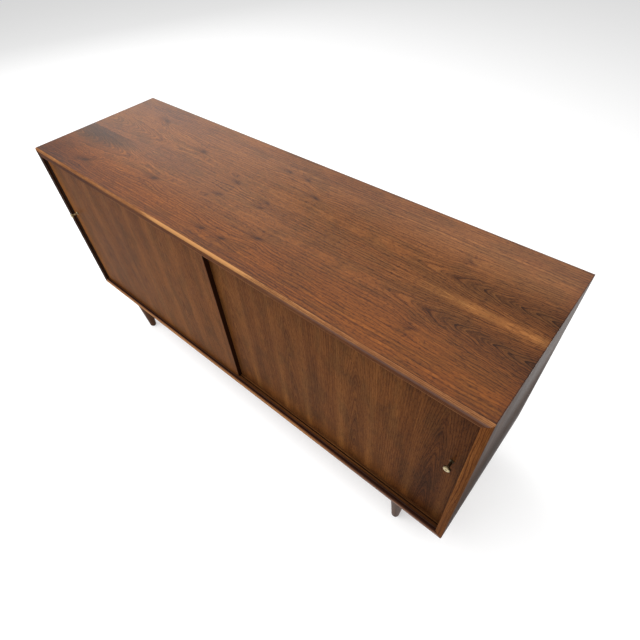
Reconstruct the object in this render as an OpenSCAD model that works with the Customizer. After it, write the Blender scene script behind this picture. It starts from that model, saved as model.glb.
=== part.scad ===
// Sideboard buffet: a mitred case with two bypass sliding doors on four turned legs.
// Millimetres. +Z is up and the front faces -Y.
// The origin is on the floor, under the middle of the bounding box.

/* [Case] */
// Width of the case, side to side
case_w = 1524; // [1300:2:1800]
// Depth of the case, front edge to back
case_d = 445; // [400:1:520]
// Height of the case, without the legs
case_h = 567; // [500:1:680]
// Thickness of the top and bottom boards
board_t = 25; // [23:0.5:32]
// Thickness of the side boards
side_t = 19; // [17:0.5:25]
// Depth of the solid lipping along the front edges
lip_d = 7; // [6:0.5:8]
// How far the lipping's face leans back at its inner edge
lip_lean = 2; // [0.5:0.5:4]
// Thickness of the back panel
back_t = 6; // [4:0.5:9]
// Width of the rebate that holds the back panel
rebate_w = 9; // [8:0.5:10]

/* [Inside] */
// Thickness of the centre divider
divider_t = 19; // [17:0.5:25]
// Distance from the case front to the divider's front edge
divider_set = 48; // [46:1:70]
// Thickness of the two shelves
shelf_t = 18; // [15:0.5:22]
// Distance from the case front to the shelves' front edges
shelf_set = 62; // [52:1:120]
// Height of the shelves' undersides above the bottom board
shelf_rise = 250; // [200:1:280]
// Radius of a shelf pin
pin_r = 2.5; // [2:0.25:3]
// Spacing of the shelf pin holes, up and down
pin_pitch = 64; // [32:1:70]

/* [Doors] */
// Thickness of each door
door_t = 12.7; // [11:0.1:13]
// Distance from the case front to the front door's face
door_set = 12; // [11.5:0.1:13]
// Gap between the two doors where they pass
door_gap = 1.3; // [1:0.1:1.5]
// Overlap of the closed doors at the middle
door_overlap = 36; // [20:1:60]
// Gap between a closed door and the side board
door_side_gap = 1; // [0.5:0.1:3]
// Distance from the case side to the knob's centre
knob_inset = 46; // [36:1:80]
// Height of the knobs above the case's underside
knob_rise = 340; // [180:1:400]
// How far a knob stands out from its door
knob_len = 24; // [20:0.5:28]
// Radius of a knob's head
knob_r = 8; // [7:0.25:10]

/* [Legs] */
// Height of the legs, glides included
leg_h = 200; // [150:1:260]
// Radius of a leg at its top
leg_top_r = 27.5; // [26.5:0.5:34]
// Radius of a leg near its foot
leg_foot_r = 11.5; // [10:0.5:16]
// Distance from the case side to a leg's axis
leg_inset_x = 148; // [60:1:300]
// Distance from the case's front or back to a leg's axis
leg_inset_y = 47.5; // [40:0.5:90]

/* [Hidden] */

$fn = 64;
// Cutters run this far past the surface they open
eps = 1;

walnut = [0.36, 0.22, 0.13];
solid_walnut = [0.45, 0.27, 0.15];
plywood = [0.55, 0.42, 0.29];
brass = [0.80, 0.68, 0.42];
steel = [0.62, 0.63, 0.65];
nylon = [0.86, 0.84, 0.78];
dark_pad = [0.16, 0.14, 0.13];

// Depth positions. The front knob stands past the case front, so it sets the bounding box.
knob_reach = max(0, knob_len - door_set);
y_front = -(case_d + knob_reach) / 2 + knob_reach;
y_back = y_front + case_d;
y_panel = y_front + lip_d;
y_back_panel = y_back - back_t;

// Height positions
z_case = leg_h;
z_top = leg_h + case_h;
z_floor = z_case + board_t;
z_roof = z_top - board_t;

// Width positions
x_out = case_w / 2;
x_in = x_out - side_t;

// Door tracks: strips let flush into the bottom and top boards, with two grooves each
track_w = 34;
y_track = y_front + 9;
groove_w = 5;
lower_track_t = 9;
lower_groove_d = 4.5;
upper_track_t = 14;
upper_groove_d = 11;
y_front_door = y_front + door_set;
y_rear_door = y_front_door + door_t + door_gap;

// Doors: lifted by the upper groove's spare depth, each one comes out of the lower groove
door_w = x_in - door_side_gap + door_overlap / 2;
door_foot_gap = 1;
door_head_gap = 5;
z_door_foot = z_floor + door_foot_gap;
z_door_head = z_roof - door_head_gap;
slip_t = 4;
slip_len = 70;
slip_inset = 100;
slip_seat = 9;
runner_drop = 4;
guide_rise = 5;

// Knobs and their screws
knob_base_r = 5;
knob_base_t = 1.6;
knob_stem_r = 3;
knob_head_t = 6.5;
knob_round = 2.2;
knob_dimple_r = 2.6;
knob_dimple_d = 0.9;
knob_screw_r = 2;
knob_screw_in = 12;
knob_head_r = 4;
knob_head_d = 2.4;
x_knob = x_out - knob_inset;
z_knob = z_case + knob_rise;

// Legs and what holds them
glide_t = 2.5;
glide_r = 8.5;
plate_t = 3;
plate_r = 25;
plate_screw_ring = 17;
plate_screw_r = 1.75;
plate_screw_head_r = 3.4;
plate_screw_head_d = 1.9;
plate_screw_len = 16;
leg_bolt_r = 4;
leg_bolt_in = 30;
leg_bolt_up = 16;
x_leg = x_out - leg_inset_x;
y_leg_front = y_front + leg_inset_y;
y_leg_back = y_back - leg_inset_y;

// Back panel screws
back_screw_r = 1.5;
back_screw_head_r = 3;
back_screw_head_d = 2;
back_screw_len = 24;
back_screw_edge = 4.5;

// Shelf pins
pin_in = 8;
pin_out = 8;
pin_row_inset = 62;
z_pin = z_floor + shelf_rise - pin_r;
y_pin_front = y_front + shelf_set + pin_row_inset;
y_pin_back = y_back_panel - pin_row_inset;

// Clearances: small screws and pins in their holes, and pockets round their inserts
hole_gap = 0.1;
shelf_gap = 1;
shelf_back_gap = 3;

// The lipping's outline: share of the board's thickness, and depth behind the case front
lip_points = [
    [0, 4], [0.02, 2.9], [0.055, 1.85], [0.11, 0.95], [0.18, 0.35], [0.28, 0], [1, lip_lean]
];

// Face-on outlines of the mitred boards, as [x, z]
function top_outline() = [[-x_out, z_top], [x_out, z_top], [x_in, z_roof], [-x_in, z_roof]];
function bottom_outline() = [[-x_out, z_case], [-x_in, z_floor], [x_in, z_floor], [x_out, z_case]];
function right_outline() = [[x_out, z_case], [x_in, z_floor], [x_in, z_roof], [x_out, z_top]];

// Extrudes an [x, z] outline from depth y0 to y1
module along_y(points, y0, y1) {
    translate([0, y1, 0])
        rotate([90, 0, 0])
            linear_extrude(y1 - y0)
                polygon(points);
}

module box(low, high) {
    translate(low)
        cube(high - low);
}

// Countersunk screw with its head's flat face at the origin and its shank along +Z
module screw(shank_r, head_r, head_d, length, grow = 0) {
    union() {
        cylinder(h = length, r = shank_r + grow);
        cylinder(h = head_d, r1 = head_r + grow, r2 = shank_r + grow);
    }
}

// Case boards

module back_rebate() {
    box(
        [-x_in - rebate_w, y_back_panel, z_floor - rebate_w],
        [x_in + rebate_w, y_back + eps, z_roof + rebate_w]
    );
}

module top_panel() {
    color(walnut)
        difference() {
            along_y(top_outline(), y_panel, y_back);
            back_rebate();
            box([-x_in, y_track, z_roof - eps], [x_in, y_track + track_w, z_roof + upper_track_t]);
            back_screw_set(hole_gap);
        }
}

module bottom_panel() {
    color(walnut)
        difference() {
            along_y(bottom_outline(), y_panel, y_back);
            back_rebate();
            box([-x_in, y_track, z_floor - lower_track_t], [x_in, y_track + track_w, z_floor + eps]);
            back_screw_set(hole_gap);
            at_legs() {
                translate([0, 0, z_case - eps])
                    cylinder(h = plate_t + eps, r = plate_r + hole_gap);
                translate([0, 0, z_case])
                    cylinder(h = leg_bolt_up + hole_gap, r = leg_bolt_r + hole_gap);
                plate_screw_set(hole_gap);
            }
        }
}

module side_panel() {
    color(walnut)
        difference() {
            along_y(right_outline(), y_panel, y_back);
            back_rebate();
            back_screw_set(hole_gap);
            translate([x_in, 0, 0])
                pin_holes();
        }
}

module side_right() {
    side_panel();
}

module side_left() {
    mirror([1, 0, 0])
        side_panel();
}

// Lippings: one bar per front edge, mitred like the boards behind them

// A bar along X with its outer face at z = 0 and its body below
module lip_bar(thickness) {
    profile = concat([for (p = lip_points) [p[1], -p[0] * thickness]], [[lip_d, -thickness], [lip_d, 0]]);
    translate([-x_out - eps, y_front, 0])
        rotate([90, 0, 90])
            linear_extrude(case_w + 2 * eps)
                polygon(profile);
}

module lip_top() {
    color(solid_walnut)
        intersection() {
            translate([0, 0, z_top])
                lip_bar(board_t);
            along_y(top_outline(), y_front - eps, y_panel);
        }
}

module lip_bottom() {
    color(solid_walnut)
        intersection() {
            translate([0, 0, z_case])
                mirror([0, 0, 1])
                    lip_bar(board_t);
            along_y(bottom_outline(), y_front - eps, y_panel);
        }
}

module lip_side() {
    color(solid_walnut)
        intersection() {
            translate([x_out, 0, (z_case + z_top) / 2])
                rotate([0, 90, 0])
                    lip_bar(side_t);
            along_y(right_outline(), y_front - eps, y_panel);
        }
}

module lip_right() {
    lip_side();
}

module lip_left() {
    mirror([1, 0, 0])
        lip_side();
}

// Back panel and its screws

module back_panel() {
    color(plywood)
        difference() {
            box(
                [-x_in - rebate_w, y_back_panel, z_floor - rebate_w],
                [x_in + rebate_w, y_back, z_roof + rebate_w]
            );
            back_screw_set(hole_gap);
        }
}

module back_screw_at(x, z, grow) {
    translate([x, y_back, z])
        rotate([90, 0, 0])
            screw(back_screw_r, back_screw_head_r, back_screw_head_d, back_screw_len, grow);
}

module back_screw_set(grow) {
    x_edge = x_in + rebate_w - back_screw_edge;
    z_low = z_floor - rebate_w + back_screw_edge;
    z_high = z_roof + rebate_w - back_screw_edge;
    for (i = [-2:2], z = [z_low, z_high])
        back_screw_at(i * x_edge * 0.46, z, grow);
    for (x = [-x_edge, x_edge], share = [0.25, 0.75])
        back_screw_at(x, z_low + (z_high - z_low) * share, grow);
    for (share = [0.25, 0.75])
        back_screw_at(0, z_low + (z_high - z_low) * share, grow);
}

module back_screws() {
    color(steel)
        back_screw_set(0);
}

// Inside: divider, shelves and pins

module pin_column(x0, length) {
    for (y = [y_pin_front, y_pin_back], i = [-1:1])
        translate([x0, y, z_pin + i * pin_pitch])
            rotate([0, 90, 0])
                cylinder(h = length, r = pin_r + hole_gap);
}

// Pin holes into a board on the +X side of x = 0
module pin_holes() {
    pin_column(-eps, pin_in + hole_gap + eps);
}

module centre_divider() {
    color(walnut)
        difference() {
            box([-divider_t / 2, y_front + divider_set, z_floor], [divider_t / 2, y_back_panel, z_roof]);
            back_screw_set(hole_gap);
            translate([-divider_t / 2, 0, 0])
                pin_holes();
            mirror([1, 0, 0])
                translate([-divider_t / 2, 0, 0])
                    pin_holes();
        }
}

module shelf() {
    color(walnut)
        box(
            [divider_t / 2 + shelf_gap, y_front + shelf_set, z_floor + shelf_rise],
            [x_in - shelf_gap, y_back_panel - shelf_back_gap, z_floor + shelf_rise + shelf_t]
        );
}

module shelf_right() {
    shelf();
}

module shelf_left() {
    mirror([1, 0, 0])
        shelf();
}

module shelf_pins() {
    color(steel)
        for (side = [0, 1], y = [y_pin_front, y_pin_back])
            mirror([side, 0, 0]) {
                translate([x_in - pin_out, y, z_pin])
                    rotate([0, 90, 0])
                        cylinder(h = pin_out + pin_in, r = pin_r);
                translate([divider_t / 2 - pin_in, y, z_pin])
                    rotate([0, 90, 0])
                        cylinder(h = pin_out + pin_in, r = pin_r);
            }
}

// Door tracks

module grooves(z0, z1) {
    for (y = [y_front_door, y_rear_door])
        box(
            [-x_in - eps, y + (door_t - groove_w) / 2, z0],
            [x_in + eps, y + (door_t + groove_w) / 2, z1]
        );
}

module track_lower() {
    color(solid_walnut)
        difference() {
            box([-x_in, y_track, z_floor - lower_track_t], [x_in, y_track + track_w, z_floor]);
            grooves(z_floor - lower_groove_d, z_floor + eps);
        }
}

module track_upper() {
    color(solid_walnut)
        difference() {
            box([-x_in, y_track, z_roof], [x_in, y_track + track_w, z_roof + upper_track_t]);
            grooves(z_roof - eps, z_roof + upper_groove_d);
        }
}

// Legs

module at_legs() {
    for (x = [-x_leg, x_leg], y = [y_leg_front, y_leg_back])
        translate([x, y, 0])
            children();
}

module leg(x, y) {
    foot = glide_t;
    color(solid_walnut)
        translate([x, y, 0])
            difference() {
                rotate_extrude()
                    polygon([
                        [0, foot], [leg_foot_r - 3, foot], [leg_foot_r - 1.4, foot + 0.6],
                        [leg_foot_r - 0.4, foot + 1.8], [leg_foot_r, foot + 3.6],
                        [leg_top_r, leg_h], [0, leg_h]
                    ]);
                translate([0, 0, leg_h - leg_bolt_in])
                    cylinder(h = leg_bolt_in + eps, r = leg_bolt_r + hole_gap);
            }
}

module leg_front_left() {
    leg(-x_leg, y_leg_front);
}

module leg_front_right() {
    leg(x_leg, y_leg_front);
}

module leg_back_left() {
    leg(-x_leg, y_leg_back);
}

module leg_back_right() {
    leg(x_leg, y_leg_back);
}

module plate_screw_set(grow) {
    for (i = [0:2])
        rotate([0, 0, 120 * i + 30])
            translate([plate_screw_ring, 0, z_case])
                screw(plate_screw_r, plate_screw_head_r, plate_screw_head_d, plate_screw_len, grow);
}

module leg_plates() {
    color(steel)
        at_legs()
            difference() {
                translate([0, 0, z_case])
                    cylinder(h = plate_t, r = plate_r);
                translate([0, 0, z_case - eps])
                    cylinder(h = plate_t + 2 * eps, r = leg_bolt_r + hole_gap);
                plate_screw_set(hole_gap);
            }
}

module leg_plate_screws() {
    color(steel)
        at_legs()
            plate_screw_set(0);
}

module leg_bolts() {
    color(steel)
        at_legs()
            translate([0, 0, z_case - leg_bolt_in])
                cylinder(h = leg_bolt_in + leg_bolt_up, r = leg_bolt_r);
}

module leg_glides() {
    color(dark_pad)
        at_legs()
            cylinder(h = glide_t, r = glide_r);
}

// Doors, drawn for the right; the left ones are mirrored and set in the front grooves

module at_slips() {
    for (x = [x_in - door_side_gap - slip_inset, x_in - door_side_gap - door_w + slip_inset])
        translate([x, 0, 0])
            children();
}

module runner_at(y) {
    at_slips()
        box(
            [-slip_len / 2, y + (door_t - slip_t) / 2, z_floor - runner_drop],
            [slip_len / 2, y + (door_t + slip_t) / 2, z_door_foot + slip_seat]
        );
}

module guide_at(y) {
    at_slips()
        box(
            [-slip_len / 2, y + (door_t - slip_t) / 2, z_door_head - slip_seat],
            [slip_len / 2, y + (door_t + slip_t) / 2, z_roof + guide_rise]
        );
}

// Knob screw, driven from the back of a door whose front face is at depth y
module knob_screw_at(y, grow) {
    translate([x_knob, y + door_t, z_knob])
        rotate([90, 0, 0])
            screw(knob_screw_r, knob_head_r, knob_head_d, door_t + knob_screw_in, grow);
}

module door_at(y) {
    color(walnut)
        difference() {
            box(
                [x_in - door_side_gap - door_w, y, z_door_foot],
                [x_in - door_side_gap, y + door_t, z_door_head]
            );
            runner_at(y);
            guide_at(y);
            knob_screw_at(y, hole_gap);
        }
}

module knob_at(y) {
    neck = knob_len - knob_head_t;
    arc = [for (a = [0:22.5:90]) [knob_r - knob_round * (1 - cos(a)), knob_len - knob_round * (1 - sin(a))]];
    color(brass)
        translate([x_knob, y, z_knob])
            rotate([90, 0, 0])
                difference() {
                    rotate_extrude()
                        polygon(concat(
                            [
                                [0, 0], [knob_base_r, 0], [knob_base_r, knob_base_t],
                                [knob_stem_r, knob_base_t + 1.6], [knob_stem_r, neck - 2.2],
                                [knob_stem_r + 1.5, neck - 0.6], [knob_r - 1, neck], [knob_r, neck + 1]
                            ],
                            arc,
                            [
                                [knob_dimple_r, knob_len], [knob_dimple_r * 0.6, knob_len - knob_dimple_d * 0.8],
                                [0, knob_len - knob_dimple_d]
                            ]
                        ));
                    translate([0, 0, -eps])
                        cylinder(h = knob_screw_in + hole_gap + eps, r = knob_screw_r + hole_gap);
                }
}

module door_right() {
    door_at(y_rear_door);
}

module door_runners_right() {
    color(nylon)
        runner_at(y_rear_door);
}

module door_guides_right() {
    color(nylon)
        guide_at(y_rear_door);
}

module knob_right() {
    knob_at(y_rear_door);
}

module knob_screw_right() {
    color(steel)
        knob_screw_at(y_rear_door, 0);
}

module door_left() {
    mirror([1, 0, 0])
        door_at(y_front_door);
}

module door_runners_left() {
    color(nylon)
        mirror([1, 0, 0])
            runner_at(y_front_door);
}

module door_guides_left() {
    color(nylon)
        mirror([1, 0, 0])
            guide_at(y_front_door);
}

module knob_left() {
    mirror([1, 0, 0])
        knob_at(y_front_door);
}

module knob_screw_left() {
    color(steel)
        mirror([1, 0, 0])
            knob_screw_at(y_front_door, 0);
}

top_panel();
bottom_panel();
side_left();
side_right();
lip_top();
lip_bottom();
lip_left();
lip_right();
back_panel();
back_screws();
centre_divider();
shelf_left();
shelf_right();
shelf_pins();
track_upper();
track_lower();
leg_front_left();
leg_front_right();
leg_back_left();
leg_back_right();
leg_plates();
leg_plate_screws();
leg_bolts();
leg_glides();
door_left();
door_runners_left();
door_guides_left();
knob_left();
knob_screw_left();
door_right();
door_runners_right();
door_guides_right();
knob_right();
knob_screw_right();
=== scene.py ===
"""Looks for the sideboard: woods, metals, soft studio light and the photograph's camera."""

import math

import bpy
from mathutils import Matrix, Vector


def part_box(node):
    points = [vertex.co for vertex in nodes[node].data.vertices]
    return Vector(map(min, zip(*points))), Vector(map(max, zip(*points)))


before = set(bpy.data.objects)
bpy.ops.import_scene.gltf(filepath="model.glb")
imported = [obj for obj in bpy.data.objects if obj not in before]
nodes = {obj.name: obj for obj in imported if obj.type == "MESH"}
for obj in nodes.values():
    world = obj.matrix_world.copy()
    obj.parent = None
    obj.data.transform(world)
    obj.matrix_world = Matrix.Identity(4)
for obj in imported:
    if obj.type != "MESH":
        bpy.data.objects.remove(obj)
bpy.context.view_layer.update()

MM = 0.001

# Planes that the materials and the camera are measured from
top_lo, top_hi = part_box("top_panel")
lip_lo, lip_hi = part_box("lip_top")
side_lo, side_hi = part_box("side_right")
track_lo, track_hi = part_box("track_lower")
door_l_lo, door_l_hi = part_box("door_left")
door_r_lo, door_r_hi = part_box("door_right")
knob_lo, knob_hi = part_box("knob_right")
case_front = lip_lo.y
case_bottom = side_lo.z

# The top's veneer. u runs along the grain from the middle of the top, and v is the distance from the seam.
book_seam = case_front + 0.210
ARCH_MIDDLE = 0.062
ARCH_REACH = 0.062
ARCH_TIP = 8.0 * MM
NEST_START, NEST_SLOPE = 0.50, 0.27
FLAME_START, FLAME_SLOPE = -0.42, -0.26

# Patches of the top's figure, each as (u, its size along u, v, its size along v)
NEST_PATCH = (0.69, 0.17, 0.066, 0.042)
FLAME_PATCH = (-0.56, 0.17, 0.062, 0.060)
CREASE_PATCH = (0.05, 0.42, ARCH_MIDDLE, 0.012)
# Darker patches at its front corners, as (x, size, y, size)
LEFT_CORNER_PATCH = (-0.72, 0.12, case_front + 0.05, 0.10)
RIGHT_CORNER_PATCH = (0.62, 0.26, case_front + 0.04, 0.10)

# Each of the pin knots in the top is (u, v, size). The other knot sizes are for a size of 1.
TOP_KNOTS = [
    (-0.302, 0.087, 1.3), (-0.095, 0.033, 1.0), (0.040, 0.012, 0.8), (0.124, 0.102, 1.0),
    (-0.017, 0.156, 0.9), (0.052, 0.155, 0.9), (0.548, 0.120, 0.8), (-0.560, 0.150, 1.3),
]
KNOT_SWERVE = (0.042, 0.017)
KNOT_PUSH = 0.020
KNOT_CORE = (0.009, 0.0055)
KNOT_TAIL = (0.024, 0.0075)
KNOT_TAIL_SHIFT = 0.016
KNOT_SLANT = 1.1

# The doors' veneer leaves, and a place where one of them starts on each door
LEAF = 0.207
LEFT_DOOR_LEAF = door_l_lo.x + 0.05
RIGHT_DOOR_LEAF = -0.0455
LEAVES_BEFORE = 10
DOOR_ARCH_START, DOOR_ARCH_SLOPE = case_bottom + 0.62, -0.16
DOOR_ARCH_REACH = 0.050
DOOR_ARCH_TIP = 5.0 * MM
STRIPE_FROM_MIDDLE, STRIPE_WIDTH = 0.050, 0.012
# The pale middle of the left door, as (x, size, z, size)
DOOR_GLOW_PATCH = (-0.24, 0.17, case_bottom + 0.30, 0.60)

# Half the width of the grooves in the tracks
GROOVE_HALF = 2.5 * MM

# Linear colours of the walnut, from its darkest latewood line to sapwood
WALNUT = {
    "line": (0.026, 0.008, 0.003),
    "dark": (0.072, 0.023, 0.007),
    "mid": (0.160, 0.056, 0.015),
    "light": (0.265, 0.103, 0.028),
    "sap": (0.50, 0.235, 0.075),
}

# The solid lippings are a little greyer and paler than the veneer
LIPPING = {
    "line": (0.026, 0.009, 0.005),
    "dark": (0.068, 0.024, 0.012),
    "mid": (0.155, 0.060, 0.025),
    "light": (0.270, 0.116, 0.047),
    "sap": (0.52, 0.26, 0.098),
}

PLYWOOD = {
    "line": (0.16, 0.085, 0.04),
    "dark": (0.24, 0.135, 0.065),
    "mid": (0.34, 0.20, 0.10),
    "light": (0.43, 0.27, 0.14),
    "sap": (0.52, 0.35, 0.20),
}

# Factors that turn the wood's colour olive, red or gold, and the grey that the photograph's reflections add
OLIVE = (0.64, 0.76, 0.85, 1.0)
RED = (1.12, 0.84, 0.74, 1.0)
GOLD = (0.98, 0.80, 0.42, 1.0)
REFLECTED_GREY = (0.20, 0.155, 0.15, 1.0)

# Features per metre of each of the wood's patterns, along the grain and across it
LINE_FADE_SCALE = (4.0, 40.0)
LINE_JITTER_SCALE = (9.0, 50.0)
STREAK_SCALE = (12.0, 150.0)
FIBRE_SCALE = (45.0, 400.0)
PORE_SCALE = (110.0, 480.0)
CLOUD_SCALE = (2.6, 9.0)
FIGURE_SCALE = (13.0, 32.0)
WARMTH_SCALE = (1.8, 6.0)
SEAM_STREAK_SCALE = (30.0, 160.0)
SHEEN_PATCH_SCALE = (1.2, 26.0)

# Where each of the palette's colours sits on the tone scale
TONES = [("line", 0.0), ("dark", 0.24), ("mid", 0.50), ("light", 0.74), ("sap", 1.0)]
MIDDLE_TONE = 0.48

BRASS_DULL = (0.34, 0.27, 0.14)
BRASS_BRIGHT = (0.50, 0.42, 0.25)
BRASS_DARK = (0.045, 0.030, 0.015, 1.0)
ZINC_DULL = (0.46, 0.46, 0.45)
ZINC_BRIGHT = (0.62, 0.62, 0.60)
PAD_COLOUR = (0.035, 0.030, 0.027)
FIBRE_COLOUR = (0.060, 0.034, 0.020)
WHITE = (1.0, 1.0, 1.0, 1.0)
FLOOR_GREY = (0.60, 0.60, 0.60, 1.0)


# ---------------------------------------------------------------- node helpers


class Graph:
    """Builds one material. Every argument that is a socket is linked, and anything else is a value."""

    def __init__(self, name):
        self.material = bpy.data.materials.new(name)
        self.material.use_nodes = True
        self.tree = self.material.node_tree
        self.tree.nodes.clear()

    def add(self, kind, **settings):
        node = self.tree.nodes.new(kind)
        for key, value in settings.items():
            setattr(node, key, value)
        return node

    def feed(self, socket, value):
        if isinstance(value, bpy.types.NodeSocket):
            self.tree.links.new(value, socket)
        elif value is not None:
            socket.default_value = value

    def math(self, operation, *values, clamp=False):
        node = self.add("ShaderNodeMath", operation=operation, use_clamp=clamp)
        for socket, value in zip(node.inputs, values):
            self.feed(socket, value)
        return node.outputs[0]

    def fold(self, operation, values):
        result = values[0]
        for value in values[1:]:
            result = self.math(operation, result, value)
        return result

    def total(self, *values):
        return self.fold("ADD", values)

    def times(self, *values):
        return self.fold("MULTIPLY", values)

    def largest(self, *values):
        return self.fold("MAXIMUM", values)

    def minus(self, value, taken):
        return self.math("SUBTRACT", value, taken)

    def over(self, value, divisor):
        return self.math("DIVIDE", value, divisor)

    def absolute(self, value):
        return self.math("ABSOLUTE", value)

    def square(self, value):
        return self.times(value, value)

    def bell(self, square):
        """1 where the squared distance is 0, fading to about a third where it is 1."""
        return self.math("EXPONENT", self.times(square, -1.0))

    def centred(self, value, amount):
        """Noise of 0 to 1 made to swing by half the amount to each side of 0."""
        return self.times(self.minus(value, 0.5), amount)

    def between(self, value, low, high, to_low=0.0, to_high=1.0, smooth=True):
        """to_low where the value is low, to_high where it is high, with a soft step between them."""
        node = self.add("ShaderNodeMapRange", interpolation_type="SMOOTHSTEP" if smooth else "LINEAR")
        entries = {"Value": value, "From Min": low, "From Max": high, "To Min": to_low, "To Max": to_high}
        for name, entry in entries.items():
            self.feed(node.inputs[name], entry)
        return node.outputs[0]

    def tint(self, share, a, b, mode="MIX"):
        """Colour a where share is 0, colour b where it is 1."""
        node = self.add("ShaderNodeMix", data_type="RGBA", blend_type=mode)
        for socket, value in zip((node.inputs[0], node.inputs[6], node.inputs[7]), (share, a, b)):
            self.feed(socket, value)
        return node.outputs[2]

    def multiply(self, colour, factors):
        return self.tint(1.0, colour, factors, mode="MULTIPLY")

    def point(self, x, y, z):
        node = self.add("ShaderNodeCombineXYZ")
        for socket, value in zip(node.inputs, (x, y, z)):
            self.feed(socket, value)
        return node.outputs[0]

    def position(self):
        coord = self.add("ShaderNodeTexCoord")
        split = self.add("ShaderNodeSeparateXYZ")
        self.feed(split.inputs[0], coord.outputs["Object"])
        return split.outputs[0], split.outputs[1], split.outputs[2]

    def noise(self, vector, scale=1.0, detail=2.0, roughness=0.5):
        node = self.add("ShaderNodeTexNoise")
        self.feed(node.inputs["Vector"], vector)
        for name, value in (("Scale", scale), ("Detail", detail), ("Roughness", roughness)):
            self.feed(node.inputs[name], value)
        return node.outputs["Fac"]

    def noise_line(self, w, detail=2.0, roughness=0.5):
        node = self.add("ShaderNodeTexNoise", noise_dimensions="1D")
        for name, value in (("W", w), ("Scale", 1.0), ("Detail", detail), ("Roughness", roughness)):
            self.feed(node.inputs[name], value)
        return node.outputs["Fac"]

    def streaks(self, along, across, through, scale, detail=2.0, roughness=0.5):
        """Noise in streaks. scale is its features per metre along the grain and across it."""
        scale_along, scale_across = scale
        where = self.point(self.times(along, scale_along), self.times(across, scale_across),
                           self.times(through, scale_across))
        return self.noise(where, detail=detail, roughness=roughness)

    def ramp(self, value, stops):
        node = self.add("ShaderNodeValToRGB")
        points = node.color_ramp.elements
        while len(points) < len(stops):
            points.new(0.5)
        for point, (place, colour) in zip(points, stops):
            point.position = place
            point.color = (*colour, 1.0)
        self.feed(node.inputs[0], value)
        return node.outputs[0]

    def bump(self, height, distance, strength=1.0):
        node = self.add("ShaderNodeBump")
        self.feed(node.inputs["Height"], height)
        self.feed(node.inputs["Distance"], distance)
        self.feed(node.inputs["Strength"], strength)
        return node.outputs[0]

    def finish(self, **inputs):
        shader = self.add("ShaderNodeBsdfPrincipled")
        for name, value in inputs.items():
            self.feed(shader.inputs[name.replace("_", " ")], value)
        output = self.add("ShaderNodeOutputMaterial")
        self.tree.links.new(shader.outputs[0], output.inputs[0])
        return self.material


# ---------------------------------------------------------------- grain


def grain_axes(g, along, seed):
    """The piece's coordinates as (along the grain, across it, through it), in metres.

    along is "x", "z" for upright grain on a board that faces sideways, or "z_front" on one facing forward.
    """
    x, y, z = g.position()
    axes = {"x": (x, y, z), "z": (z, y, x), "z_front": (z, x, y)}[along]
    seed_step = 1.37
    return axes[0], axes[1], g.total(axes[2], seed * seed_step)


def wander(g, u, v, w, size, amount, seed):
    """A slow sideways drift of the grain: size is the width of its waves, and amount how far they swing."""
    along_share = 0.22
    where = g.point(g.times(u, along_share), v, g.total(w, seed))
    return g.centred(g.noise(where, scale=1.0 / size), amount)


def arches(g, v, u, centre, tip_round, reach, starts):
    """Grain that runs straight along u and gathers into nested arches past each (place, slope) in starts.

    The arches are reach wide on each side of v = centre. A positive slope opens them towards +u.
    """
    offset = g.minus(v, centre)
    length = g.math("SQRT", g.total(g.square(offset), tip_round * tip_round))
    inside = g.bell(g.square(g.over(offset, reach)))
    onset = 0.10
    for place, slope in starts:
        past = g.times(g.minus(u, place), math.copysign(1.0, slope))
        past = g.math("SMOOTH_MAX", past, 0.0, onset)
        length = g.minus(length, g.times(past, abs(slope), inside))
    return length


def side_offset(g, a, place, size):
    """How many sizes a is past the place."""
    return g.over(g.minus(a, place), size)


def blob(g, a, b, patch):
    """1 in the middle of a patch, fading to 0 about one and a half sizes away from it."""
    place_a, size_a, place_b, size_b = patch
    da = side_offset(g, a, place_a, size_a)
    db = side_offset(g, b, place_b, size_b)
    return g.bell(g.total(g.square(da), g.square(db)))


def knot_field(g, u, v, knots):
    """(sideways push, darkness) of small pin knots at the given (u, v, size) places."""
    def patch(shift, sizes):
        return place_u - shift * size, sizes[0] * size, place_v, sizes[1] * size

    push, dark = 0.0, 0.0
    for place_u, place_v, size in knots:
        # The grain flows round the knot
        near = blob(g, u, v, patch(0.0, KNOT_SWERVE))
        side = side_offset(g, v, place_v, KNOT_SWERVE[1] * size)
        push = g.total(push, g.times(near, g.times(side, KNOT_PUSH * size)))
        # A dark core, with a paler tail to its left
        slanted = g.total(u, g.times(g.minus(v, place_v), KNOT_SLANT))
        core = blob(g, slanted, v, patch(0.0, KNOT_CORE))
        tail = blob(g, slanted, v, patch(KNOT_TAIL_SHIFT, KNOT_TAIL))
        dark = g.total(dark, g.times(core, 0.26), g.times(tail, 0.14))
    return push, dark


def growth_rings(g, u, length, w, ring, seed, drift):
    """(ring noise, broad bands, the dark line that closes each ring, where those lines are strong)."""
    seed_step, bands_per_ring = 7.0, 0.13
    phase = g.total(g.over(length, ring), seed * seed_step)
    fine = g.noise_line(phase, detail=3.0, roughness=0.65)
    bands = g.noise_line(g.times(phase, bands_per_ring))
    strong = g.between(g.streaks(u, length, w, LINE_FADE_SCALE), 0.22, 0.56)
    jitter = g.streaks(u, length, w, LINE_JITTER_SCALE)
    part_of_ring = g.math("FRACT", g.total(phase, g.times(jitter, drift)))
    late = g.times(g.between(part_of_ring, 0.52, 0.92), g.between(part_of_ring, 1.0, 0.93))
    return fine, bands, late, strong


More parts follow.
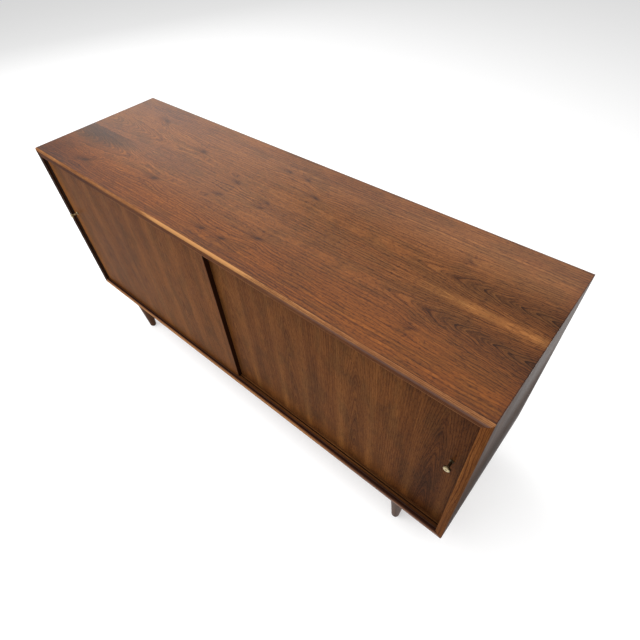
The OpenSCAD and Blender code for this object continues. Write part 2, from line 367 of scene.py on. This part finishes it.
def tinted_wood(g, tone, palette, olive, warmth, red, golden, gain, reflection_wash):
    """The palette's colour for each tone, then its tints. Each of the tints is a share from 0 to 1."""
    colour = g.ramp(tone, [(place, palette[name]) for name, place in TONES])
    colour = g.tint(olive, colour, g.multiply(colour, OLIVE))
    colour = g.tint(g.between(warmth, 0.35, 0.7, 0.0, red), colour, g.multiply(colour, RED))
    colour = g.tint(golden, colour, g.multiply(colour, GOLD))
    colour = g.multiply(colour, (gain, gain, gain, 1.0))
    return g.tint(reflection_wash, colour, REFLECTED_GREY)


def wood_surface(g, u, length, w, palette, *, across=None, ring=0.0065, gain=1.0, lines=0.22, rings=0.4,
                 broad=0.2, streaks=0.35, fibres=0.4, clouds=0.45, figures=0.0, pore_depth=0.10, shade=0.0,
                 drift=0.9, extra_light=0.0, extra_dark=0.0, red=0.20, golden=0.0, reflection_wash=0.0, rough=0.42,
                 specular=0.3, seed=0.0):
    """Finishes the material for grain that runs along u, with its rings at the contours of length.

    gain is the overall brightness. lines, rings, broad, streaks, fibres, clouds, figures and pore_depth are
    the strengths of the patterns. drift breaks up the lines, shade, red and golden tint the colour, and wash
    greys it as a painted reflection.
    """
    across = length if across is None else across
    fine, bands, late, strong = growth_rings(g, u, length, w, ring, seed, drift)
    streak = g.streaks(u, length, w, STREAK_SCALE, detail=4.0, roughness=0.65)
    fibre = g.streaks(u, length, w, FIBRE_SCALE, detail=3.0, roughness=0.7)
    pores = g.between(g.streaks(u, across, w, PORE_SCALE, roughness=0.6), 0.50, 0.68)
    cloud = g.streaks(u, across, w, CLOUD_SCALE, detail=4.0, roughness=0.55)
    slanted = g.total(u, g.times(across, 0.5))
    figure = g.streaks(slanted, across, w, FIGURE_SCALE, detail=3.0, roughness=0.55)
    other_layer = g.total(w, 4.0)
    warmth = g.streaks(u, length, other_layer, WARMTH_SCALE, detail=1.0)
    tone = g.total(
        MIDDLE_TONE,
        g.centred(fine, rings),
        g.centred(bands, broad),
        g.centred(streak, streaks),
        g.centred(fibre, fibres),
        g.centred(cloud, clouds),
        g.times(late, g.times(strong, lines), -1.0),
        g.times(pores, -pore_depth),
        extra_light,
        g.times(extra_dark, -1.0),
    )
    olive = g.math("ADD", g.between(figure, 0.56, 0.36, 0.0, figures), shade, clamp=True)
    colour = tinted_wood(g, tone, palette, olive, warmth, red, golden, gain, reflection_wash)
    height = g.minus(g.times(fibre, 0.35), pores)
    roughness = g.total(rough, g.centred(fibre, 0.10), g.centred(cloud, 0.10))
    return g.finish(Base_Color=colour, Roughness=roughness, Specular_IOR_Level=specular,
                    Normal=g.bump(height, 0.12 * MM, 0.6))


# ---------------------------------------------------------------- the top's veneer


def seam_streak(g, u, v, w):
    """A broken pale streak along the seam at the right end."""
    ragged = g.total(v, wander(g, u, v, w, size=0.05, amount=0.016, seed=9.0))
    near_seam = g.between(ragged, 0.020, 0.002)
    at_right = g.between(u, 0.42, 0.62)
    broken = g.between(g.streaks(u, v, w, SEAM_STREAK_SCALE, detail=3.0), 0.30, 0.62, 0.45, 1.1)
    return g.times(near_seam, at_right, broken)


def smoky_patch(g, u, y, v, ragged):
    """A dark patch in front of the seam that reaches the left end, with a sharp edge along the seam."""
    near_seam = g.between(ragged, 0.105, 0.030)
    in_front = g.between(y, book_seam + 2.0 * MM, book_seam - 1.0 * MM)
    at_left = g.between(g.total(u, g.times(v, 0.6)), -0.47, -0.60)
    return g.times(near_seam, in_front, at_left)


def seam_line(g, u, v):
    """The glue line of the seam, seen only in the right half."""
    on_seam = g.between(v, 1.6 * MM, 0.4 * MM)
    past_middle = g.between(u, 0.10, 0.30)
    before_end = g.between(u, 0.60, 0.50)
    return g.times(on_seam, past_middle, before_end)


def dark_rims(g, u, y):
    """Dark lines along the ends, the back edge and the joint with the front lipping."""
    outer, inner = 2.5 * MM, 1.2 * MM
    ends = g.between(g.absolute(u), top_hi.x - outer, top_hi.x - inner)
    back = g.between(y, top_hi.y - outer, top_hi.y - inner)
    front = g.between(y, case_front + 8.6 * MM, case_front + 7.6 * MM)
    return g.total(g.times(g.largest(ends, back), 0.18), g.times(front, 0.20))


def dark_places(g, u, y, v, nest, smoke):
    """Everything but the knots that darkens the top."""
    left_corner = blob(g, u, y, LEFT_CORNER_PATCH)
    right_corner = blob(g, u, y, RIGHT_CORNER_PATCH)
    right_end = g.between(u, 0.735, 0.765)
    return g.total(g.times(seam_line(g, u, v), 0.16), g.times(smoke, 0.15), g.times(right_end, 0.08),
                   g.times(nest, 0.11), g.times(left_corner, 0.16), g.times(right_corner, 0.05),
                   dark_rims(g, u, y))


def top_wood():
    """Two leaves of veneer, book-matched about a seam along the top's length."""
    g = Graph("walnut_top")
    u, y, w = grain_axes(g, "x", 0.0)
    v = g.absolute(g.minus(y, book_seam))
    ragged = g.total(v, wander(g, u, v, w, size=0.02, amount=0.014, seed=7.0))
    push, knots = knot_field(g, u, ragged, TOP_KNOTS)
    bent = g.total(
        v,
        wander(g, u, v, w, size=0.16, amount=0.026, seed=1.0),
        wander(g, u, v, w, size=0.035, amount=0.008, seed=2.0),
        push,
    )

    # The nested arches: strong at the right end, pale at the left, scalloped only there
    nest = blob(g, u, v, NEST_PATCH)
    flame = blob(g, u, v, FLAME_PATCH)
    bold = g.largest(nest, flame)
    ripple = wander(g, g.times(u, 3.0), v, w, size=0.022, amount=0.012, seed=11.0)
    scallops = g.total(bent, g.times(ripple, g.between(bold, 0.0, 0.4, 0.22, 1.0)))
    length = arches(g, scallops, u, centre=ARCH_MIDDLE, tip_round=ARCH_TIP, reach=ARCH_REACH,
                    starts=[(NEST_START, NEST_SLOPE), (FLAME_START, FLAME_SLOPE)])
    crease = blob(g, u, bent, CREASE_PATCH)

    # Tints that stand for the photograph's light: golden at the front, paler and hazy at the back
    smoke = smoky_patch(g, u, y, v, ragged)
    front_gold = g.between(y, case_front + 0.220, case_front + 0.030)
    back_light = g.between(y, case_front + 0.240, case_front + 0.380, 0.0, 0.06)
    haze = g.times(g.between(y, case_front + 0.260, case_front + 0.420), g.between(u, -0.4, 0.1, 0.03, 0.10))
    left = g.between(u, 0.0, -0.5)
    return wood_surface(
        g, u, length, w, WALNUT, across=bent, ring=0.0076, gain=0.80, broad=0.14, figures=0.46,
        pore_depth=0.20,
        lines=g.total(0.22, g.times(nest, 0.07), g.times(flame, -0.06), g.times(crease, -0.20)),
        drift=g.minus(1.7, g.times(nest, 0.9)),
        rings=g.total(0.34, g.times(bold, 0.40)),
        streaks=g.total(0.32, g.times(left, 0.14)),
        fibres=g.total(0.50, g.times(left, 0.14)),
        clouds=g.total(0.34, g.times(left, 0.16)),
        extra_light=g.total(g.times(seam_streak(g, u, v, w), 0.28), back_light),
        extra_dark=g.total(knots, dark_places(g, u, y, v, nest, smoke)),
        shade=g.largest(g.times(nest, 0.3), g.times(smoke, 0.7)),
        red=0.10, golden=front_gold, reflection_wash=haze,
        rough=g.total(0.40, g.times(front_gold, 0.20)), specular=0.19)


# ---------------------------------------------------------------- the other woods


def leaf_stripe(g, bent):
    """A paler stripe on each side of a leaf's arches."""
    off_middle = g.absolute(g.minus(bent, LEAF / 2))
    return g.bell(g.square(side_offset(g, off_middle, STRIPE_FROM_MIDDLE, STRIPE_WIDTH)))


def door_wood(name, door, leaf_start, seed, gain, stripe_gain, broad, edge_glow=0.0):
    """Narrow upright leaves of veneer, each with nested arches in its middle and paler stripes beside them.

    edge_glow is how much paler the door is along its left edge.
    """
    g = Graph(name)
    u, x, w = grain_axes(g, "z_front", seed)
    v = g.math("PINGPONG", g.minus(x, leaf_start - LEAVES_BEFORE * LEAF), LEAF)
    bent = g.total(
        v,
        wander(g, u, v, w, size=0.16, amount=0.016, seed=seed),
        wander(g, u, v, w, size=0.035, amount=0.006, seed=seed + 2.0),
    )
    length = arches(g, bent, u, centre=LEAF / 2, tip_round=DOOR_ARCH_TIP, reach=DOOR_ARCH_REACH,
                    starts=[(DOOR_ARCH_START, DOOR_ARCH_SLOPE)])
    low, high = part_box(door)
    half = (high.x - low.x) / 2
    from_middle = g.absolute(g.minus(x, (low.x + high.x) / 2))
    rim = g.between(from_middle, half - 1.0 * MM, half - 0.4 * MM)
    shadow = g.total(g.times(rim, 0.6), g.times(g.between(x, 0.54, 0.68), 0.16))
    glow = g.between(x, low.x + 0.075, low.x + 0.015, 0.0, edge_glow)
    if edge_glow:
        glow = g.total(glow, g.times(blob(g, x, u, DOOR_GLOW_PATCH), 0.05))
    return wood_surface(
        g, u, length, w, WALNUT, across=x, ring=0.0075, gain=gain, lines=0.14, rings=0.24, broad=broad,
        streaks=0.28, fibres=0.46, clouds=0.30, figures=0.50, pore_depth=0.14, red=0.08,
        extra_light=g.total(g.times(leaf_stripe(g, bent), stripe_gain), glow), extra_dark=shadow,
        rough=0.50, specular=0.015, seed=seed)


def plain_grain(g, u, v, w, seed):
    """Nearly straight grain that shows on every face of a board."""
    return g.total(
        v,
        w,
        wander(g, u, v, w, size=0.18, amount=0.040, seed=seed),
        wander(g, u, v, w, size=0.04, amount=0.008, seed=seed + 3.0),
    )


def outer_side_wood(name, seed, gain):
    """Side veneer with upright grain. It is shinier towards the upper back, where the photograph is pale."""
    g = Graph(name)
    u, v, w = grain_axes(g, "z", seed)
    bent = plain_grain(g, u, v, w, seed)
    height = g.over(g.minus(u, side_lo.z), side_hi.z - side_lo.z)
    depth = g.over(g.minus(v, side_lo.y), side_hi.y - side_lo.y)
    dull_height = 0.36
    from_dull = g.absolute(g.minus(height, dull_height))
    patches = g.streaks(u, bent, w, SHEEN_PATCH_SCALE, detail=3.0)
    shine = g.total(g.times(depth, 0.60), g.between(from_dull, 0.0, 0.48, -0.22, 0.70),
                    g.centred(patches, 0.7))
    # The olive tint greys the colour as a painted reflection, and the darkening towards the bottom is painted
    # shade
    return wood_surface(g, u, bent, w, WALNUT, across=v, gain=gain, streaks=0.5, shade=0.6,
                        extra_dark=g.between(height, 0.70, 0.20, 0.0, 0.14),
                        rough=g.between(shine, 0.0, 1.1, 0.90, 0.48, smooth=False), specular=0.20, seed=seed)


def plain_wood(name, along, seed, gain, ring=0.0065, lighter=0.0, specular=0.25, shade_before=None):
    """Straight-grained solid or veneered walnut, with painted shade in front of a given plane y, when one is
    given.
    """
    g = Graph(name)
    u, v, w = grain_axes(g, along, seed)
    dark = 0.0
    if shade_before is not None:
        dark = g.between(v, shade_before + 0.5 * MM, shade_before - 0.5 * MM, 0.0, 0.7)
    return wood_surface(g, u, plain_grain(g, u, v, w, seed), w, WALNUT, ring=ring, gain=gain,
                        extra_light=lighter, extra_dark=dark, specular=specular, seed=seed)


def track_wood():
    """Dark-stained tracks, with painted highlights along their grooves' edges, painted shade inside the
    grooves, and darker towards the right end.
    """
    g = Graph("track_walnut")
    seed = 12.0
    u, y, z = grain_axes(g, "x", 0.0)
    bent = g.total(y, z, wander(g, u, y, z, size=0.18, amount=0.020, seed=seed))
    wear_and_sheen, inside = 0.0, 0.0
    # Painted highlight along each groove's edges and painted shade inside each groove
    for low, high in ((door_l_lo, door_l_hi), (door_r_lo, door_r_hi)):
        from_middle = g.absolute(g.minus(y, (low.y + high.y) / 2))
        from_edge = g.absolute(g.minus(from_middle, GROOVE_HALF))
        wear_and_sheen = g.largest(wear_and_sheen, g.between(from_edge, 1.5 * MM, 0.6 * MM))
        inside = g.largest(inside, g.between(from_middle, GROOVE_HALF + 0.1 * MM, GROOVE_HALF - 0.3 * MM))
    right_end = g.between(u, 0.45, 0.70, 0.0, 0.12)
    return wood_surface(g, u, bent, z, WALNUT, gain=0.50, extra_light=g.times(wear_and_sheen, 0.30),
                        extra_dark=g.total(g.times(inside, 0.6), right_end),
                        shade=0.3, rough=0.55, specular=0.02, seed=seed)


def front_lipping(name, seed, layers, dark_end, grey, sap_middle=0.0, shade_behind=0.0):
    """Solid lipping along X, with a run of sapwood near its middle and one end darker.

    Each of the layers is (height where it starts, height where it is full, how much paler), a band of painted
    highlight where it is positive and of painted shade where it is negative. dark_end is (place where it
    starts, place where it is full, height where it starts, height where it is full, how dark), and grey is
    (place where it starts, place where it is full, height of the band, how grey), a band of painted
    reflection. Painted shade can also darken the lipping's top behind its front edge.
    """
    g = Graph(name)
    u, y, z = grain_axes(g, "x", 0.0)
    bent = g.total(y, z, wander(g, u, y, z, size=0.18, amount=0.020, seed=seed))
    # Bands of painted highlight and painted shade along the lipping's height
    tones = [g.between(z, start, full, 0.0, paler) for start, full, paler in layers]
    sap = g.between(g.absolute(g.minus(u, 0.01)), 0.24, 0.10, 0.0, sap_middle)
    sap = g.times(sap, g.between(z, layers[0][0], layers[0][1]))
    # Painted shade on the lipping's top behind its front edge
    behind = g.between(y, case_front + 1.5 * MM, case_front + 2.5 * MM, 0.0, shade_behind)
    start, full, height, full_height, darkness = dark_end
    end = g.times(g.between(u, start, full), g.between(z, height, full_height, 0.0, darkness))
    start, full, height, greyness = grey
    # A band of painted reflection, greyer towards one end
    band = g.bell(g.square(side_offset(g, z, height, 4.0 * MM)))
    reflection = g.times(band, g.between(u, start, full, 0.0, greyness))
    return wood_surface(g, u, bent, z, LIPPING, ring=0.004, gain=0.60, extra_light=g.total(sap, *tones),
                        extra_dark=g.total(behind, end), reflection_wash=reflection, rough=0.45, specular=0.004,
                        seed=seed)


def top_lipping():
    def down(millimetres):
        return lip_hi.z - millimetres * MM

    return front_lipping(
        "lipping_top", seed=8.0, sap_middle=0.45,
        # The upper layer is a painted highlight on the nose and the lower one a painted highlight along the
        # bottom edge; the grey band is a painted reflection
        layers=[(down(7.5), down(4.5), 0.31), (lip_lo.z + 3.5 * MM, lip_lo.z + 1.5 * MM, 0.20)],
        dark_end=(-0.2, -0.6, down(6.0), down(9.0), 0.14),
        grey=(0.1, 0.5, down(8.5), 0.22))


def bottom_lipping():
    def up(millimetres):
        return case_bottom + millimetres * MM

    return front_lipping(
        # Painted shade on the lipping's top behind its front edge
        "lipping_bottom", seed=9.0, shade_behind=0.8,
        # A painted highlight across the middle of its height, with painted shade above and below it, and a
        # painted reflection in the grey band
        layers=[(up(5.0), up(9.0), 0.52), (up(15.0), up(20.0), -0.33), (up(8.0), up(4.0), -0.28)],
        dark_end=(0.25, 0.60, up(8.0), up(13.0), 0.42),
        grey=(0.30, 0.60, up(8.0), 0.60))


def plywood():
    g = Graph("back_plywood")
    seed = 5.0
    u, x, w = grain_axes(g, "z_front", seed)
    bent = g.total(x, wander(g, u, x, w, size=0.30, amount=0.12, seed=seed + 1.0))
    return wood_surface(g, u, bent, w, PLYWOOD, across=x, ring=0.019, lines=0.14, drift=2.0, broad=0.30,
                        fibres=0.5, figures=0.25, rough=0.62, seed=seed)


# ---------------------------------------------------------------- metals and plastics


def brass():
    """Aged brass, bright on the head and dark on the rim and in the dimple, with painted shade where the knob
    meets its door.
    """
    g = Graph("knob_brass")
    x, y, z = g.position()
    wear_and_sheen = g.noise(g.point(x, y, z), scale=420.0, detail=3.0)
    bright = g.ramp(wear_and_sheen, [(0.3, BRASS_DULL), (0.7, BRASS_BRIGHT)])
    off_x = g.minus(g.absolute(x), abs(knob_lo.x + knob_hi.x) / 2)
    off_z = g.minus(z, (knob_lo.z + knob_hi.z) / 2)
    radius = g.math("SQRT", g.total(g.square(off_x), g.square(off_z)))
    rim = g.between(radius, 5.8 * MM, 7.4 * MM, 0.0, 0.62)
    dimple = g.between(radius, 2.9 * MM, 2.1 * MM, 0.0, 0.55)
    # Painted shade on the stem where the knob meets its door
    shaded_foot = g.between(y, knob_lo.y + 6.0 * MM, knob_lo.y + 10.0 * MM, 0.0, 0.92)
    colour = g.tint(g.largest(rim, dimple, shaded_foot), bright, BRASS_DARK)
    return g.finish(Base_Color=colour, Metallic=1.0, Roughness=g.between(wear_and_sheen, 0.3, 0.7, 0.26, 0.40),
                    Normal=g.bump(wear_and_sheen, 0.03 * MM, 0.4))


def zinc():
    g = Graph("zinc_steel")
    x, y, z = g.position()
    spangle = g.noise(g.point(x, y, z), scale=300.0)
    colour = g.ramp(spangle, [(0.3, ZINC_DULL), (0.7, ZINC_BRIGHT)])
    return g.finish(Base_Color=colour, Metallic=1.0, Roughness=g.between(spangle, 0.3, 0.7, 0.30, 0.45))


def plastic(name, colour, roughness):
    g = Graph(name)
    x, y, z = g.position()
    speck = g.noise(g.point(x, y, z), scale=700.0, detail=3.0)
    darker = (*[channel * 0.7 for channel in colour], 1.0)
    shade = g.tint(g.between(speck, 0.3, 0.7, 0.0, 0.25), (*colour, 1.0), darker)
    rough = g.between(speck, 0.3, 0.7, roughness - 0.06, roughness + 0.06)
    return g.finish(Base_Color=shade, Roughness=rough, Normal=g.bump(speck, 0.05 * MM, 0.5))


# ---------------------------------------------------------------- dressing the CAD nodes


def dress(names, material):
    for name in names:
        mesh = nodes[name].data
        mesh.materials.clear()
        mesh.materials.append(material)


def soften(names, width, segments=3):
    """Eases the sharp edges of boards, so that they catch light."""
    for name in names:
        node = nodes[name]
        weld = node.modifiers.new("weld", "WELD")
        weld.merge_threshold = 0.001 * MM
        flat = node.modifiers.new("whole_faces", "DECIMATE")
        flat.decimate_type = "DISSOLVE"
        flat.angle_limit = math.radians(1)
        bevel = node.modifiers.new("eased_edges", "BEVEL")
        bevel.width = width
        bevel.segments = segments
        bevel.limit_method = "ANGLE"
        bevel.angle_limit = math.radians(35)
        bevel.harden_normals = True


def dress_case():
    dress(["top_panel"], top_wood())
    # Painted shade on the bottom in front of the track and on the left side's inner face in front of the door
    dress(["bottom_panel"], plain_wood("walnut_bottom", "x", seed=2.0, gain=0.7, shade_before=track_lo.y))
    dress(["side_left"], plain_wood("walnut_side_left", "z", seed=3.0, gain=0.5, shade_before=door_l_lo.y))
    dress(["side_right"], outer_side_wood("walnut_side_right", seed=4.0, gain=0.44))
    dress(["centre_divider", "shelf_left", "shelf_right"],
          plain_wood("walnut_inside", "z_front", seed=6.0, gain=0.75))
    dress(["lip_top"], top_lipping())
    dress(["lip_bottom"], bottom_lipping())
    # The left lipping is a shaded copy and the right lipping a lit copy of one walnut: painted shade and
    # painted light
    dress(["lip_left"], plain_wood("lipping_left_shaded", "z", seed=10.0, gain=0.13, specular=0.01))
    dress(["lip_right"], plain_wood("lipping_right_lit", "z", seed=11.0, gain=0.75, lighter=0.05, specular=0.004))
    dress(["track_lower", "track_upper"], track_wood())
    dress(["back_panel"], plywood())
    legs = [f"leg_{end}_{side}" for end in ("front", "back") for side in ("left", "right")]
    dress(legs, plain_wood("turned_walnut", "z", seed=13.0, gain=0.38, ring=0.005, specular=0.08))


def dress_doors():
    dress(["door_left"], door_wood("walnut_door_left", "door_left", LEFT_DOOR_LEAF, seed=14.0, gain=0.74,
                                   stripe_gain=0.07, broad=0.08, edge_glow=0.16))
    dress(["door_right"], door_wood("walnut_door_right", "door_right", RIGHT_DOOR_LEAF, seed=15.0, gain=0.70,
                                    stripe_gain=0.14, broad=0.22))
    slips = [f"door_{kind}_{side}" for kind in ("runners", "guides") for side in ("left", "right")]
    dress(slips, plastic("fibre_slips", FIBRE_COLOUR, roughness=0.5))


def dress_fittings():
    dress(["knob_left", "knob_right"], brass())
    dress(["back_screws", "shelf_pins", "leg_plates", "leg_plate_screws", "leg_bolts", "knob_screw_left",
           "knob_screw_right"], zinc())
    dress(["leg_glides"], plastic("glide_pad", PAD_COLOUR, roughness=0.7))


# ---------------------------------------------------------------- stage, light and camera


def add_stage():
    """A floor that glows a little, so that it stays white under a soft shadow."""
    bpy.ops.mesh.primitive_plane_add(size=60.0, location=(0.0, 0.0, 0.0))
    floor = bpy.context.object
    floor.name = "floor"
    g = Graph("floor_white")
    floor.data.materials.append(g.finish(Base_Color=FLOOR_GREY, Roughness=0.9, Specular_IOR_Level=0.0,
                                         Emission_Color=WHITE, Emission_Strength=0.42))


def add_world(strength):
    world = bpy.data.worlds.new("studio")
    world.use_nodes = True
    background = world.node_tree.nodes["Background"]
    background.inputs["Color"].default_value = WHITE
    background.inputs["Strength"].default_value = strength
    bpy.context.scene.world = world


def add_softbox(name, place, target, width, height, power):
    data = bpy.data.lights.new(name, "AREA")
    data.shape = "RECTANGLE"
    data.size = width
    data.size_y = height
    data.energy = power
    light = bpy.data.objects.new(name, data)
    light.location = place
    light.rotation_euler = (Vector(target) - Vector(place)).to_track_quat("-Z", "Y").to_euler()
    bpy.context.scene.collection.objects.link(light)


def add_camera():
    """Looks down at the front right corner, as the photograph does."""
    # Solved from the case's corners in the photograph
    azimuth = math.radians(43.4)
    elevation = math.radians(48.1)
    roll = math.radians(-3.95)
    place = Vector((0.8041, case_front - 0.4241, case_bottom + 1.2227))
    level = math.cos(elevation)
    ahead = Vector((-math.sin(azimuth) * level, math.cos(azimuth) * level, -math.sin(elevation)))
    data = bpy.data.cameras.new("camera")
    data.lens = 25.65
    data.sensor_width = 36.0
    camera = bpy.data.objects.new("camera", data)
    turn = ahead.to_track_quat("-Z", "Y").to_matrix() @ Matrix.Rotation(roll, 3, "Z")
    camera.matrix_world = Matrix.Translation(place) @ turn.to_4x4()
    bpy.context.scene.collection.objects.link(camera)
    bpy.context.scene.camera = camera


boards = ["top_panel", "bottom_panel", "side_left", "side_right", "centre_divider", "shelf_left",
          "shelf_right", "door_left", "door_right"]
lips = ["lip_top", "lip_bottom", "lip_left", "lip_right"]
dress_case()
dress_doors()
dress_fittings()
soften(boards, width=0.5 * MM)
soften(lips, width=0.35 * MM, segments=2)
add_stage()
add_world(strength=0.34)
add_softbox("overhead", (-0.3, -0.6, 3.4), target=(-0.1, -0.1, 0.0), width=5.0, height=3.4, power=225.0)
add_softbox("left_back", (-3.6, 1.6, 2.3), target=(0.0, 0.0, 0.7), width=3.0, height=2.2, power=30.0)
add_softbox("left_front", (-2.6, -2.2, 1.6), target=(0.0, 0.0, 0.5), width=2.0, height=1.8, power=45.0)
add_camera()
bpy.context.scene.view_settings.view_transform = "Standard"
